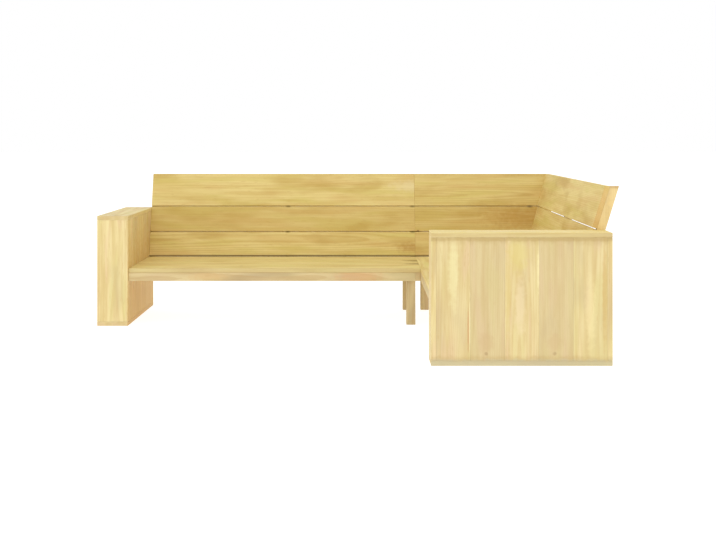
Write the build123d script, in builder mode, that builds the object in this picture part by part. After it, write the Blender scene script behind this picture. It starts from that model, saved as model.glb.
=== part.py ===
from build123d import *

import math
import os
from dataclasses import dataclass

# Corner bench of planed softwood: a long left section and a right section that turns the corner.
# Millimetres, +Z up, origin on the floor under the middle of the bench.
# Each section is described by run (along the seat), depth (from the arm front to the back) and height.

# Boards and battens
BOARD_T = 21.0
EDGE_EASE = 2.0
RAIL_T = 26.0
RAIL_H = 42.0
LEG_W = 45.0

# Box arms
ARM_HEIGHT = 550.0
ARM_WIDTH = 154.0
ARM_BOARD_W = 141.0
ARM_BOARD_GAP = 0.75
ARM_BOARD_COUNT = 5
BATTEN_T = 26.0
BATTEN_W = 42.0

# Seat
LEFT_RUN = 1464.0
RIGHT_RUN = 897.0
SEAT_TOP = 286.0
SEAT_RECESS = 12.0
SEAT_BOARD_W = 145.0
SEAT_BOARD_GAP = 6.0
SEAT_BOARD_COUNT = 4
REAR_BEARING = 9.0
LEFT_SUPPORT_SHARE = 0.481
RIGHT_SUPPORT_RUN = 809.0
CORNER_RAIL_SET = 26.0

# Leaning back
BACK_LEAN = 17.2
BACK_RISE = 3.0
BACK_SET = 1.0
BOTTOM_PLANK_W = 135.5
MIDDLE_PLANK_W = 141.0
TOP_PLANK_W = 183.5
PLANK_GAP = 4.0
SUPPORT_W = 26.0
SUPPORT_D = 36.0
SUPPORT_DROP = 12.0

# Fasteners
BORE_CLEARANCE = 0.3
TIP_ROOM = 1.0
SEAT_SCREW_SPREAD = 35.0
SEAT_SCREW_POCKET = 8.0
BACK_SCREW_SPREAD = 35.0
BACK_SCREW_POCKET = 4.0
BUTT_SCREW_STEP = 40.0
ARM_SCREW_SPREAD = 40.0
ARM_SCREW_BITE = 26.0
SCREW_EDGE = 8.0
POST_SCREW_STEP = 125.0
FOOT_WALL = 20.0
FOOT_POCKET = 30.0
SCREW_STAGGER = 10.0
BOLT_DIAMETER = 8.0
BOLT_LENGTH = 70.0
HEX_ACROSS_FLATS = 13.0
BOLT_HEAD_H = 5.3
NUT_H = 6.5
WASHER_DIAMETER = 16.0
WASHER_T = 1.6
BOLT_SPACING = 160.0
FINE_SCREW_DIAMETER = 5.0
FINE_SCREW_HEAD = 10.0
FINE_SCREW_HEAD_H = 3.0
SEAT_SCREW_LENGTH = 50.0
BACK_SCREW_LENGTH = 50.0
ARM_SCREW_LENGTH = 40.0
FRAME_SCREW_DIAMETER = 6.0
FRAME_SCREW_HEAD = 12.0
FRAME_SCREW_HEAD_H = 4.0
FRAME_SCREW_LENGTH = 60.0
DRIVE_SQUARE = 3.0
DRIVE_DEPTH = 2.0


@dataclass(frozen=True)
class Screw:
    """A pan-headed wood screw, measured under the head."""

    diameter: float
    length: float
    head_diameter: float
    head_height: float


SEAT_SCREW = Screw(FINE_SCREW_DIAMETER, SEAT_SCREW_LENGTH, FINE_SCREW_HEAD, FINE_SCREW_HEAD_H)
BACK_SCREW = Screw(FINE_SCREW_DIAMETER, BACK_SCREW_LENGTH, FINE_SCREW_HEAD, FINE_SCREW_HEAD_H)
ARM_SCREW = Screw(FINE_SCREW_DIAMETER, ARM_SCREW_LENGTH, FINE_SCREW_HEAD, FINE_SCREW_HEAD_H)
FRAME_SCREW = Screw(FRAME_SCREW_DIAMETER, FRAME_SCREW_LENGTH, FRAME_SCREW_HEAD, FRAME_SCREW_HEAD_H)

# Back planks from the bottom up, and those of them that the seam bolts stand behind
PLANK_NAMES = ("bottom", "middle", "top")
PLANK_WIDTHS = (BOTTOM_PLANK_W, MIDDLE_PLANK_W, TOP_PLANK_W)
BOLTED_PLANKS = (1, 2)
BATTEN_SCREW_SHARES = (1 / 6, 1 / 2, 5 / 6)

# Levels and depths that follow from the driving dimensions
RAIL_TOP = SEAT_TOP - BOARD_T
RAIL_BOTTOM = RAIL_TOP - RAIL_H
RAIL_MID = RAIL_TOP - RAIL_H / 2
ARM_LENGTH = ARM_BOARD_COUNT * ARM_BOARD_W + (ARM_BOARD_COUNT - 1) * ARM_BOARD_GAP + 2 * BOARD_T
SEAT_PITCH = SEAT_BOARD_W + SEAT_BOARD_GAP
SEAT_REAR = SEAT_RECESS + SEAT_BOARD_COUNT * SEAT_PITCH - SEAT_BOARD_GAP
FRONT_RAIL_BACK = SEAT_RECESS + RAIL_T
REAR_RAIL_FRONT = SEAT_REAR - REAR_BEARING
REAR_RAIL_BACK = REAR_RAIL_FRONT + RAIL_T
LEAN = math.radians(BACK_LEAN)
BACK_FOOT = (SEAT_REAR + BACK_SET, SEAT_TOP + BACK_RISE)
BACK_SLOPE = sum(PLANK_WIDTHS) + (len(PLANK_WIDTHS) - 1) * PLANK_GAP


def lean_point(slope, inward):
    """Depth and height of a point on the back: slope up its face, inward through its thickness."""
    depth = BACK_FOOT[0] + slope * math.sin(LEAN) + inward * math.cos(LEAN)
    height = BACK_FOOT[1] + slope * math.cos(LEAN) - inward * math.sin(LEAN)
    return depth, height


def lean_depth(height, inward):
    """Depth at a given height of the plane that lies inward behind the face of the back."""
    return BACK_FOOT[0] + (height - BACK_FOOT[1]) * math.tan(LEAN) + inward / math.cos(LEAN)


SUPPORT_TOP = lean_point(BACK_SLOPE, 0)[1]
SUPPORT_LOW_TOP = SUPPORT_TOP - SUPPORT_DROP
BACK_OUTER = lean_depth(SUPPORT_TOP, BOARD_T + SUPPORT_D)
REAR_OUTER = lean_depth(SUPPORT_LOW_TOP, BOARD_T + SUPPORT_D)
PLANK_OUTER = lean_depth(SUPPORT_TOP, BOARD_T)
SEAM_X = (LEFT_RUN + ARM_WIDTH - BACK_OUTER + SEAT_RECESS) / 2
FRONT_Y = (RIGHT_RUN + ARM_WIDTH - REAR_OUTER) / 2


@dataclass(frozen=True)
class Section:
    """One straight section of the bench and the directions it is laid out in."""

    name: str
    origin: Vector
    run_dir: Vector
    depth_dir: Vector
    arm_face: float

    def point(self, run, depth, height):
        """Place in the bench of a point given by run, depth and height."""
        return self.origin + self.run_dir * run + self.depth_dir * depth + Vector(0, 0, height)

    def profile_plane(self, run):
        """Plane across the section at a run, with depth to the right and height up."""
        return Plane(self.point(run, 0, 0), self.depth_dir, self.depth_dir.cross(Vector(0, 0, 1)))

    def run_sign(self):
        """1 where the profile plane looks along the run, and -1 where it looks against it."""
        return self.profile_plane(0).z_dir.dot(self.run_dir)

    def lean_normal(self):
        """Direction that the face of this section's back looks in."""
        return self.depth_dir * -math.cos(LEAN) + Vector(0, 0, math.sin(LEAN))


LEFT = Section("left", Vector(SEAM_X, FRONT_Y, 0), Vector(1, 0, 0), Vector(0, 1, 0), -LEFT_RUN)
RIGHT = Section("right", Vector(SEAM_X - SEAT_RECESS, FRONT_Y, 0), Vector(0, 1, 0), Vector(1, 0, 0), -RIGHT_RUN)
SEAM_DEPTH = SEAT_RECESS

os.makedirs("parts", exist_ok=True)


def save(builder, name):
    """Label a finished piece and write it."""
    builder.part.label = name
    export_step(builder.part, f"parts/{name}.step")


def block(section, run, depth, height):
    """Add a box to the part being built, between three (low, high) spans."""
    low = section.point(run[0], depth[0], height[0])
    high = section.point(run[1], depth[1], height[1])
    size = high - low
    with Locations(low + size / 2):
        Box(size.X, size.Y, size.Z)


def board(section, run, outline):
    """Add a board with eased long edges, from its (depth, height) corners along a run span."""
    with BuildSketch(section.profile_plane(run[0])) as profile:
        with BuildLine():
            Polyline(*outline, close=True)
        make_face()
        fillet(profile.vertices(), EDGE_EASE)
    extrude(profile.sketch, amount=section.run_sign() * (run[1] - run[0]))


def drill(drives, screw, pocket=0.0):
    """Cut the bores of screws, each given by a plane under its head that looks along the screw."""
    bore = (screw.diameter + BORE_CLEARANCE) / 2
    from_head = (Align.CENTER, Align.CENTER, Align.MIN)
    to_head = (Align.CENTER, Align.CENTER, Align.MAX)
    with Locations(*drives):
        Cylinder(bore, screw.length + TIP_ROOM, align=from_head, mode=Mode.SUBTRACT)
        if pocket > 0:
            Cylinder(screw.head_diameter / 2 + BORE_CLEARANCE, pocket, align=to_head, mode=Mode.SUBTRACT)


def screws(drives, screw):
    """Add screws to the part being built, one on each drive plane."""
    from_head = (Align.CENTER, Align.CENTER, Align.MIN)
    to_head = (Align.CENTER, Align.CENTER, Align.MAX)
    with Locations(*drives):
        Cylinder(screw.diameter / 2, screw.length, align=from_head)
        Cylinder(screw.head_diameter / 2, screw.head_height, align=to_head)
    with Locations(*[drive.offset(-screw.head_height) for drive in drives]):
        Box(DRIVE_SQUARE, DRIVE_SQUARE, DRIVE_DEPTH, align=from_head, mode=Mode.SUBTRACT)


def seat_outline(index):
    """Corners of one seat board, counted from the front."""
    front = SEAT_RECESS + index * SEAT_PITCH
    rear = front + SEAT_BOARD_W
    return (front, RAIL_TOP), (rear, RAIL_TOP), (rear, SEAT_TOP), (front, SEAT_TOP)


def plank_slopes(index):
    """Slope span of one back plank, counted from the bottom."""
    low = sum(PLANK_WIDTHS[:index]) + index * PLANK_GAP
    return low, low + PLANK_WIDTHS[index]


def plank_outline(index):
    """Corners of one leaning back plank; the top plank's upper edge is planed level."""
    low, high = plank_slopes(index)
    level_rise = BOARD_T * math.tan(LEAN) if PLANK_NAMES[index] == "top" else 0
    corners = ((low, 0), (low, BOARD_T), (high + level_rise, BOARD_T), (high, 0))
    return [lean_point(slope, inward) for slope, inward in corners]


def support_outline(top):
    """Corners of a back support, with a plumb foot against the rear rail and a level top at a height."""
    front_meets_foot = BACK_FOOT[1] + (REAR_RAIL_BACK - lean_depth(BACK_FOOT[1], BOARD_T)) / math.tan(LEAN)
    return (
        (REAR_RAIL_BACK, RAIL_BOTTOM),
        (lean_depth(RAIL_BOTTOM, BOARD_T + SUPPORT_D), RAIL_BOTTOM),
        (lean_depth(top, BOARD_T + SUPPORT_D), top),
        (lean_depth(top, BOARD_T), top),
        (REAR_RAIL_BACK, front_meets_foot),
    )


# Drive planes of the screws
def seat_drives(section, run, depth_span):
    """Screws up through a rail that crosses the seat boards, two to each board that it carries."""
    drives = []
    for index in range(SEAT_BOARD_COUNT):
        middle = SEAT_RECESS + index * SEAT_PITCH + SEAT_BOARD_W / 2
        for depth in (middle - SEAT_SCREW_SPREAD, middle + SEAT_SCREW_SPREAD):
            if depth_span[0] + SCREW_EDGE < depth < depth_span[1] - SCREW_EDGE:
                drives.append(Plane(section.point(run, depth, RAIL_BOTTOM + SEAT_SCREW_POCKET)))
    return drives


def front_rail_drives(section, crossings):
    """Screws up through the front rail, midway between the rails that meet it."""
    depth = SEAT_RECESS + RAIL_T / 2
    height = RAIL_BOTTOM + SEAT_SCREW_POCKET
    middles = [(near + far) / 2 for near, far in zip(crossings, crossings[1:])]
    return [Plane(section.point(run, depth, height)) for run in middles]


def back_drives(section, run, index):
    """Screws from behind through a support into one plank."""
    low, high = plank_slopes(index)
    middle = (low + high) / 2
    seat = BOARD_T + SUPPORT_D - BACK_SCREW_POCKET
    slopes = (middle - BACK_SCREW_SPREAD, middle + BACK_SCREW_SPREAD)
    points = [section.point(run, *lean_point(slope, seat)) for slope in slopes]
    return [Plane(point, z_dir=section.lean_normal()) for point in points]


def butt_drives(index):
    """Screws from behind through a corner plank into the end of the right plank that meets it."""
    low, high = plank_slopes(index)
    middle = (low + high) / 2
    drives = []
    for slope in (middle, middle + BUTT_SCREW_STEP):
        run = lean_point(slope, BOARD_T / 2)[0] - SEAM_DEPTH
        point = LEFT.point(run, *lean_point(slope, BOARD_T - BACK_SCREW_POCKET))
        drives.append(Plane(point, z_dir=LEFT.lean_normal()))
    return drives


def foot_drives(section, run):
    """Two screws through a support's foot into the rear rail and the rail end in front of it."""
    depth = REAR_RAIL_BACK + FOOT_WALL
    heights = (RAIL_MID - SCREW_STAGGER, RAIL_MID + SCREW_STAGGER)
    return [Plane(section.point(run, depth, height), z_dir=-section.depth_dir) for height in heights]


def arm_rail_drives(section):
    """Screws from the seat frame through the arm rail and the arm's inner boards into a batten."""
    run = section.arm_face + RAIL_T
    pitch = ARM_BOARD_W + ARM_BOARD_GAP
    first = BOARD_T + ARM_BOARD_W / 2
    depths = [first + index * pitch for index in range(ARM_BOARD_COUNT - 1)]
    return [Plane(section.point(run, depth, RAIL_MID), z_dir=-section.run_dir) for depth in depths]


def cross_end_drive(section, run):
    """One screw from behind through the rear rail into the end of a cross rail."""
    return Plane(section.point(run, REAR_RAIL_BACK, RAIL_MID), z_dir=-section.depth_dir)


# Box arms
def arm_screw_drives(section, side_sign):
    """Screws from inside the arm into its side boards, on the outer (-1) or inner (1) side."""
    middle = section.arm_face - ARM_WIDTH / 2
    run = middle + side_sign * (ARM_WIDTH / 2 - BOARD_T - BATTEN_T)
    heights = (BOARD_T + BATTEN_W / 2, ARM_HEIGHT - BOARD_T - BATTEN_W / 2)
    drives = []
    for index in range(ARM_BOARD_COUNT):
        board_middle = BOARD_T + index * (ARM_BOARD_W + ARM_BOARD_GAP) + ARM_BOARD_W / 2
        for depth in (board_middle - ARM_SCREW_SPREAD, board_middle + ARM_SCREW_SPREAD):
            for height in heights:
                drives.append(Plane(section.point(run, depth, height), z_dir=section.run_dir * side_sign))
    return drives


def arm_build(section):
    """Build and write one box arm, and give back the drive planes of the screws inside it."""
    low = section.arm_face - ARM_WIDTH
    high = section.arm_face
    inside = (low + BOARD_T, high - BOARD_T)
    standing = (BOARD_T, ARM_HEIGHT - BOARD_T)
    post_rows = ((BOARD_T, BOARD_T + BATTEN_W), (ARM_LENGTH - BOARD_T - BATTEN_W, ARM_LENGTH - BOARD_T))
    batten_runs = ((inside[0], inside[0] + BATTEN_T), (inside[1] - BATTEN_T, inside[1]))
    batten_depths = (post_rows[0][1], post_rows[1][0])
    batten_rows = ((standing[0], standing[0] + BATTEN_W), (standing[1] - BATTEN_W, standing[1]))
    outer_drives = arm_screw_drives(section, -1)
    inner_drives = arm_screw_drives(section, 1)
    rail_drives = arm_rail_drives(section)

    top_drives = []
    bottom_drives = []
    batten_length = batten_depths[1] - batten_depths[0]
    for run in (sum(span) / 2 for span in batten_runs):
        for share in BATTEN_SCREW_SHARES:
            depth = batten_depths[0] + batten_length * share
            top_drives.append(Plane(section.point(run, depth, standing[1] - ARM_SCREW_BITE)))
            bottom_drives.append(Plane(section.point(run, depth, BACK_SCREW_POCKET)))

    front_drives = []
    rear_drives = []
    for run in (sum(span) / 2 for span in batten_runs):
        for height in (ARM_HEIGHT / 2 - POST_SCREW_STEP, ARM_HEIGHT / 2 + POST_SCREW_STEP):
            front_seat = section.point(run, BOARD_T + ARM_SCREW_BITE, height)
            rear_seat = section.point(run, ARM_LENGTH - BOARD_T - ARM_SCREW_BITE, height)
            front_drives.append(Plane(front_seat, z_dir=-section.depth_dir))
            rear_drives.append(Plane(rear_seat, z_dir=section.depth_dir))

    with BuildPart() as arm_top:
        block(section, (low, high), (0, ARM_LENGTH), (standing[1], ARM_HEIGHT))
        fillet(arm_top.faces().sort_by(Axis.Z)[-1].edges(), EDGE_EASE)
        drill(top_drives, ARM_SCREW)
    save(arm_top, f"{section.name}_arm_top")

    with BuildPart() as arm_bottom:
        block(section, (low, high), (0, ARM_LENGTH), (0, BOARD_T))
        drill(bottom_drives, ARM_SCREW, BACK_SCREW_POCKET)
    save(arm_bottom, f"{section.name}_arm_bottom")

    with BuildPart() as front_board:
        block(section, (low, high), (0, BOARD_T), standing)
        drill(front_drives, ARM_SCREW)
    save(front_board, f"{section.name}_arm_front_board")

    with BuildPart() as rear_board:
        block(section, (low, high), (ARM_LENGTH - BOARD_T, ARM_LENGTH), standing)
        drill(rear_drives, ARM_SCREW)
    save(rear_board, f"{section.name}_arm_rear_board")

    with BuildPart() as outer_boards:
        for index in range(ARM_BOARD_COUNT):
            near = BOARD_T + index * (ARM_BOARD_W + ARM_BOARD_GAP)
            block(section, (low, inside[0]), (near, near + ARM_BOARD_W), standing)
        drill(outer_drives, ARM_SCREW)
    save(outer_boards, f"{section.name}_arm_outer_boards")

    with BuildPart() as inner_boards:
        for index in range(ARM_BOARD_COUNT):
            near = BOARD_T + index * (ARM_BOARD_W + ARM_BOARD_GAP)
            block(section, (inside[1], high), (near, near + ARM_BOARD_W), standing)
        drill(inner_drives, ARM_SCREW)
        drill(rail_drives, FRAME_SCREW)
    save(inner_boards, f"{section.name}_arm_inner_boards")

    post_pocket = BATTEN_W - ARM_SCREW_BITE
    with BuildPart() as posts:
        for run in batten_runs:
            for depth in post_rows:
                block(section, run, depth, standing)
        drill(outer_drives + inner_drives, ARM_SCREW)
        drill(front_drives + rear_drives, ARM_SCREW, post_pocket)
    save(posts, f"{section.name}_arm_posts")

    with BuildPart() as battens:
        for run in batten_runs:
            for height in batten_rows:
                block(section, run, batten_depths, height)
        block(section, batten_runs[1], batten_depths, (RAIL_BOTTOM, RAIL_TOP))
        drill(outer_drives + inner_drives + bottom_drives, ARM_SCREW)
        drill(top_drives, ARM_SCREW, post_pocket)
        drill(rail_drives, FRAME_SCREW)
    save(battens, f"{section.name}_arm_battens")

    return outer_drives + inner_drives + top_drives + bottom_drives + front_drives + rear_drives


arm_drives = arm_build(LEFT) + arm_build(RIGHT)

# Where the rails of each seat frame cross the seat
LEFT_MIDDLE = LEFT.arm_face * LEFT_SUPPORT_SHARE
RIGHT_MIDDLE = RIGHT.arm_face + RIGHT_SUPPORT_RUN
INNER_DEPTHS = (FRONT_RAIL_BACK, REAR_RAIL_FRONT)
HEIGHTS = (RAIL_BOTTOM, RAIL_TOP)
left_arm_run = LEFT.arm_face + RAIL_T / 2
right_arm_run = RIGHT.arm_face + RAIL_T / 2
left_end_run = -RAIL_T / 2
left_crossings = [(LEFT.arm_face + LEFT_MIDDLE) / 2, LEFT_MIDDLE, LEFT_MIDDLE / 2]
corner_cross_run = REAR_RAIL_FRONT - LEG_W - CORNER_RAIL_SET
right_crossings = [
    (RIGHT.arm_face + RIGHT_MIDDLE) / 2,
    RIGHT_MIDDLE,
    (RIGHT_MIDDLE + corner_cross_run) / 2,
    corner_cross_run,
]
SIDE_RAIL = (REAR_RAIL_FRONT, REAR_RAIL_BACK)

left_seat_rows = {run: seat_drives(LEFT, run, INNER_DEPTHS) for run in [left_arm_run] + left_crossings}
left_seat_rows[left_end_run] = seat_drives(LEFT, left_end_run, (SEAT_RECESS, REAR_RAIL_BACK))
right_seat_rows = {run: seat_drives(RIGHT, run, INNER_DEPTHS) for run in [right_arm_run] + right_crossings}
left_front_drives = front_rail_drives(LEFT, [left_arm_run] + left_crossings + [left_end_run - LEG_W])
right_front_drives = front_rail_drives(RIGHT, [right_arm_run] + right_crossings)
left_seat_drives = sum(left_seat_rows.values(), []) + left_front_drives
right_seat_drives = sum(right_seat_rows.values(), []) + right_front_drives

# Back supports: the run of the middle of each one
LEFT_SUPPORTS = (left_arm_run, LEFT_MIDDLE, left_end_run)
CORNER_SUPPORTS = {"inner": RAIL_T / 2, "outer": (sum(SIDE_RAIL) / 2) - SEAM_DEPTH}
RIGHT_SUPPORTS = {"arm": right_arm_run, "middle": RIGHT_MIDDLE}
left_foot_drives = {run: foot_drives(LEFT, run) for run in LEFT_SUPPORTS}
corner_foot_drives = {run: foot_drives(LEFT, run) for run in CORNER_SUPPORTS.values()}
right_foot_drives = {run: foot_drives(RIGHT, run) for run in RIGHT_SUPPORTS.values()}
left_end_drives = [cross_end_drive(LEFT, run) for run in left_crossings if run != LEFT_MIDDLE]
right_end_drives = [cross_end_drive(RIGHT, run) for run in right_crossings if run != RIGHT_MIDDLE]

# Legs: (section of the two rails, run span, depth span, sense of the screw along the run and along the depth)
LEFT_LEG_RUN = (-RAIL_T - LEG_W, -RAIL_T)
FRONT_LEG_DEPTH = (FRONT_RAIL_BACK, FRONT_RAIL_BACK + LEG_W)
REAR_LEG_DEPTH = (REAR_RAIL_FRONT - LEG_W, REAR_RAIL_FRONT)
LEGS = {
    "left_front_leg": (LEFT, LEFT_LEG_RUN, FRONT_LEG_DEPTH, 1, -1),
    "left_rear_leg": (LEFT, LEFT_LEG_RUN, REAR_LEG_DEPTH, 1, 1),
    "corner_inner_leg": (RIGHT, REAR_LEG_DEPTH, FRONT_LEG_DEPTH, 1, -1),
    "corner_outer_leg": (RIGHT, REAR_LEG_DEPTH, REAR_LEG_DEPTH, 1, 1),
}


def leg_drives(section, run, depth, run_sense, depth_sense):
    """Two screws from the inside of a leg, one into each rail that it stands against."""
    run_seat = run[0] if run_sense > 0 else run[1]
    depth_seat = depth[0] if depth_sense > 0 else depth[1]
    along_run = section.point(run_seat, sum(depth) / 2, RAIL_MID - SCREW_STAGGER)
    along_depth = section.point(sum(run) / 2, depth_seat, RAIL_MID + SCREW_STAGGER)
    return [
        Plane(along_run, z_dir=section.run_dir * run_sense),
        Plane(along_depth, z_dir=section.depth_dir * depth_sense),
    ]


leg_screws = {name: leg_drives(*leg) for name, leg in LEGS.items()}
left_leg_drives = leg_screws["left_front_leg"] + leg_screws["left_rear_leg"]
corner_leg_drives = leg_screws["corner_inner_leg"] + leg_screws["corner_outer_leg"]

for name, (section, run, depth, run_sense, depth_sense) in LEGS.items():
    with BuildPart() as leg:
        block(section, run, depth, (0, RAIL_TOP))
        drill(leg_screws[name], FRAME_SCREW)
    save(leg, name)

# Bolts that draw the two sections together: through their rails, and through the two supports at the seam
bolt_depth = (SEAT_RECESS + REAR_RAIL_BACK) / 2
rail_bolts = [(bolt_depth + step * BOLT_SPACING, RAIL_MID) for step in (-1, 0, 1)]
support_middle = BOARD_T + SUPPORT_D / 2
support_bolts = [lean_point(sum(plank_slopes(index)) / 2, support_middle) for index in BOLTED_PLANKS]


def bolt_planes(places, run):
    """Planes across the seam at a run, looking along it, one for each (depth, height) place."""
    return [Plane(LEFT.point(run, *place), z_dir=LEFT.run_dir) for place in places]


def bolt_bores(places):
    """Cut the bolt holes through whatever of the part being built lies beside the seam."""
    with Locations(*bolt_planes(places, 0)):
        Cylinder((BOLT_DIAMETER + BORE_CLEARANCE) / 2, BOLT_LENGTH, mode=Mode.SUBTRACT)


# Seat boards
for index in range(SEAT_BOARD_COUNT):
    with BuildPart() as seat_board:
        board(LEFT, (LEFT.arm_face, 0), seat_outline(index))
        drill(left_seat_drives, SEAT_SCREW)
    save(seat_board, f"left_seat_board_{index + 1}")

    with BuildPart() as seat_board:
        board(RIGHT, (RIGHT.arm_face, SEAT_REAR), seat_outline(index))
        drill(right_seat_drives, SEAT_SCREW)
    save(seat_board, f"right_seat_board_{index + 1}")

# Left seat frame
with BuildPart() as left_front_rail:
    block(LEFT, (LEFT.arm_face, -RAIL_T), (SEAT_RECESS, FRONT_RAIL_BACK), HEIGHTS)
    drill(left_front_drives, SEAT_SCREW, SEAT_SCREW_POCKET)
    drill(left_leg_drives, FRAME_SCREW)
save(left_front_rail, "left_front_rail")

with BuildPart() as left_rear_rail:
    block(LEFT, (LEFT.arm_face, -RAIL_T), (REAR_RAIL_FRONT, REAR_RAIL_BACK), HEIGHTS)
    drill(left_end_drives, SEAT_SCREW)
    drill(left_leg_drives, FRAME_SCREW)
    drill(left_foot_drives[left_arm_run] + left_foot_drives[LEFT_MIDDLE], FRAME_SCREW)
save(left_rear_rail, "left_rear_rail")

with BuildPart() as left_end_rail:
    block(LEFT, (-RAIL_T, 0), (SEAT_RECESS, REAR_RAIL_BACK), HEIGHTS)
    drill(left_seat_rows[left_end_run], SEAT_SCREW, SEAT_SCREW_POCKET)
    drill(left_leg_drives + left_foot_drives[left_end_run], FRAME_SCREW)
    bolt_bores(rail_bolts)
save(left_end_rail, "left_end_rail")

with BuildPart() as left_arm_rail:
    block(LEFT, (LEFT.arm_face, LEFT.arm_face + RAIL_T), INNER_DEPTHS, HEIGHTS)
    drill(left_seat_rows[left_arm_run], SEAT_SCREW, SEAT_SCREW_POCKET)
    drill(arm_rail_drives(LEFT) + left_foot_drives[left_arm_run], FRAME_SCREW)
save(left_arm_rail, "left_arm_rail")

with BuildPart() as left_cross_rails:
    for run in left_crossings:
        block(LEFT, (run - RAIL_T / 2, run + RAIL_T / 2), INNER_DEPTHS, HEIGHTS)
        drill(left_seat_rows[run], SEAT_SCREW, SEAT_SCREW_POCKET)
    drill(left_end_drives, SEAT_SCREW)
    drill(left_foot_drives[LEFT_MIDDLE], FRAME_SCREW)
save(left_cross_rails, "left_cross_rails")

# Right seat frame, which turns the corner
with BuildPart() as right_front_rail:
    block(RIGHT, (RIGHT.arm_face, REAR_RAIL_BACK), (SEAT_RECESS, FRONT_RAIL_BACK), HEIGHTS)
    drill(right_front_drives, SEAT_SCREW, SEAT_SCREW_POCKET)
    drill(leg_screws["corner_inner_leg"] + corner_foot_drives[CORNER_SUPPORTS["inner"]], FRAME_SCREW)
    bolt_bores(rail_bolts)
save(right_front_rail, "right_front_rail")

with BuildPart() as right_side_rail:
    block(RIGHT, (RIGHT.arm_face, REAR_RAIL_FRONT), SIDE_RAIL, HEIGHTS)
    drill(right_end_drives, SEAT_SCREW)
    drill(leg_screws["corner_outer_leg"] + corner_foot_drives[CORNER_SUPPORTS["outer"]], FRAME_SCREW)
    drill(sum(right_foot_drives.values(), []), FRAME_SCREW)
save(right_side_rail, "right_side_rail")

with BuildPart() as corner_rear_rail:
    block(RIGHT, (REAR_RAIL_FRONT, REAR_RAIL_BACK), (FRONT_RAIL_BACK, SIDE_RAIL[1]), HEIGHTS)
    drill(corner_leg_drives + corner_foot_drives[CORNER_SUPPORTS["outer"]], FRAME_SCREW)
save(corner_rear_rail, "corner_rear_rail")

with BuildPart() as right_arm_rail:
    block(RIGHT, (RIGHT.arm_face, RIGHT.arm_face + RAIL_T), INNER_DEPTHS, HEIGHTS)
    drill(right_seat_rows[right_arm_run], SEAT_SCREW, SEAT_SCREW_POCKET)
    drill(arm_rail_drives(RIGHT) + right_foot_drives[right_arm_run], FRAME_SCREW)
save(right_arm_rail, "right_arm_rail")

with BuildPart() as right_cross_rails:
    for run in right_crossings:
        block(RIGHT, (run - RAIL_T / 2, run + RAIL_T / 2), INNER_DEPTHS, HEIGHTS)
        drill(right_seat_rows[run], SEAT_SCREW, SEAT_SCREW_POCKET)
    drill(right_end_drives, SEAT_SCREW)
    drill(right_foot_drives[RIGHT_MIDDLE], FRAME_SCREW)
save(right_cross_rails, "right_cross_rails")

# Back planks: the corner planks run on behind the right ones, which butt on them, cut to the lean
rear_face = Plane(LEFT.point(0, *BACK_FOOT), z_dir=LEFT.lean_normal())
left_back_drives = []
corner_back_drives = []
right_back_drives = []
butt_screws = []
for index, plank_name in enumerate(PLANK_NAMES):
    left_plank_drives = sum((back_drives(LEFT, run, index) for run in LEFT_SUPPORTS), [])
    corner_plank_drives = sum((back_drives(LEFT, run, index) for run in CORNER_SUPPORTS.values()), [])
    right_plank_drives = sum((back_drives(RIGHT, run, index) for run in RIGHT_SUPPORTS.values()), [])
    plank_butt_drives = butt_drives(index)

    with BuildPart() as left_plank:
        board(LEFT, (LEFT.arm_face, 0), plank_outline(index))
        drill(left_plank_drives, BACK_SCREW)
    save(left_plank, f"left_back_plank_{plank_name}")

    with BuildPart() as corner_plank:
        board(LEFT, (0, PLANK_OUTER - SEAT_RECESS), plank_outline(index))
        drill(corner_plank_drives, BACK_SCREW)
        drill(plank_butt_drives, BACK_SCREW, BACK_SCREW_POCKET)
    save(corner_plank, f"corner_back_plank_{plank_name}")

    with BuildPart() as right_plank:
        board(RIGHT, (RIGHT.arm_face, BACK_OUTER), plank_outline(index))
        split(bisect_by=rear_face, keep=Keep.TOP)
        drill(right_plank_drives + plank_butt_drives, BACK_SCREW)
    save(right_plank, f"right_back_plank_{plank_name}")

    left_back_drives += left_plank_drives
    corner_back_drives += corner_plank_drives
    right_back_drives += right_plank_drives
    butt_screws += plank_butt_drives


# Back supports, which stop short of the top plank's edge except beside the right arm
SUPPORT_TOPS = {"arm": SUPPORT_TOP, "middle": SUPPORT_LOW_TOP}


def support(section, run, top=SUPPORT_LOW_TOP):
    """Add one back support to the part being built, centred on a run, up to a height."""
    with BuildSketch(section.profile_plane(run - SUPPORT_W / 2)) as profile:
        with BuildLine():
            Polyline(*support_outline(top), close=True)
        make_face()
    extrude(profile.sketch, amount=section.run_sign() * SUPPORT_W)


with BuildPart() as left_back_supports:
    for run in LEFT_SUPPORTS:
        support(LEFT, run)
        drill(left_foot_drives[run], FRAME_SCREW, FOOT_POCKET)
    drill(left_back_drives, BACK_SCREW, BACK_SCREW_POCKET)
    bolt_bores(support_bolts)
save(left_back_supports, "left_back_supports")

for place, run in CORNER_SUPPORTS.items():
    with BuildPart() as corner_support:
        support(LEFT, run)
        drill(corner_foot_drives[run], FRAME_SCREW, FOOT_POCKET)
        drill(corner_back_drives, BACK_SCREW, BACK_SCREW_POCKET)
        bolt_bores(support_bolts)
    save(corner_support, f"corner_back_support_{place}")

for place, run in RIGHT_SUPPORTS.items():
    with BuildPart() as right_support:
        support(RIGHT, run, SUPPORT_TOPS[place])
        drill(right_foot_drives[run], FRAME_SCREW, FOOT_POCKET)
        drill(right_back_drives, BACK_SCREW, BACK_SCREW_POCKET)
    save(right_support, f"right_back_support_{place}")

# Screws
with BuildPart() as seat_screws:
    screws(left_seat_drives + right_seat_drives + left_end_drives + right_end_drives, SEAT_SCREW)
save(seat_screws, "seat_screws")

with BuildPart() as back_screws:
    screws(left_back_drives + corner_back_drives + right_back_drives + butt_screws, BACK_SCREW)
save(back_screws, "back_screws")

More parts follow.
